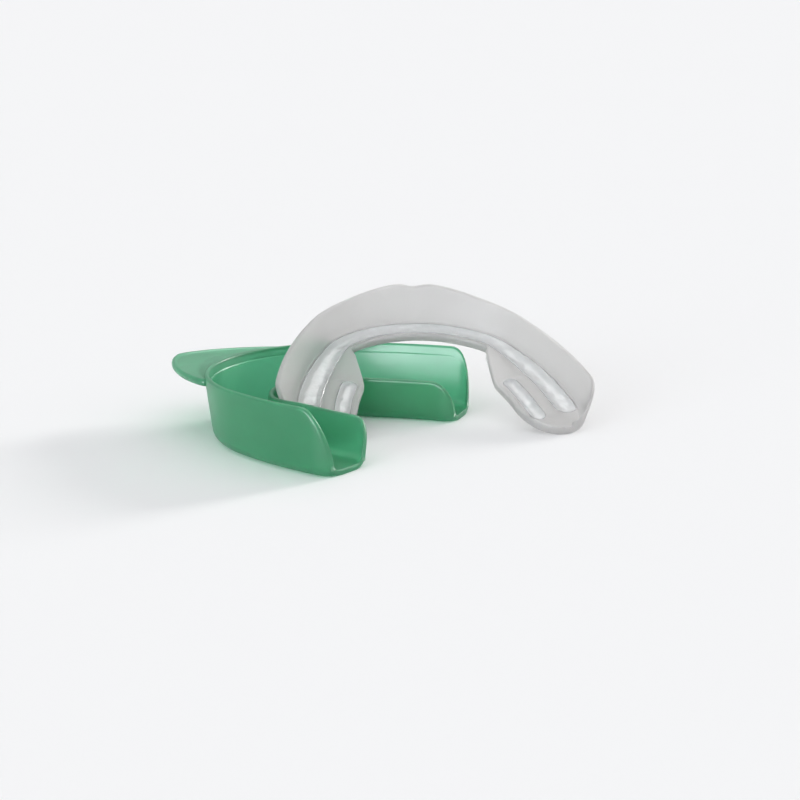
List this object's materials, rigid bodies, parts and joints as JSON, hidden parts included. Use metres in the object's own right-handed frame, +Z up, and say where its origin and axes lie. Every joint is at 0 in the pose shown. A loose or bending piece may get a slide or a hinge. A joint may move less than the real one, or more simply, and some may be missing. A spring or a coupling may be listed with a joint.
{
  "type": "mouthguard fitting set",
  "caption": "U-shaped fitting tray with a front grip tab, and a clear soft guard with a flange, channel and molar pads lying tilted across it",
  "frame": {"origin": "underside of the tray, on its middle line, under the middle of the trough's front", "axes": "+Z up, away from the table; -Y towards the grip tab; +X across the tray"},
  "size_m": [0.0726, 0.0805, 0.0247],
  "materials": {
    "fitting_tray": "frosted translucent",
    "guard_shell": "frosted clear",
    "channel_liner": "glossy clear",
    "left_pad_insert": "glossy clear",
    "right_pad_insert": "glossy clear"
  },
  "bodies": {
    "tray": {"fitting_tray": "fitting_tray"},
    "guard": {"guard_shell": "guard_shell", "channel_liner": "channel_liner", "left_pad_insert": "left_pad_insert", "right_pad_insert": "right_pad_insert"}
  },
  "joints": [
    {"name": "guard_lift", "type": "slide", "parent": "tray", "child": "guard", "axis": [0, 0, 1], "range_m": [0, 0.06]}
  ]
}
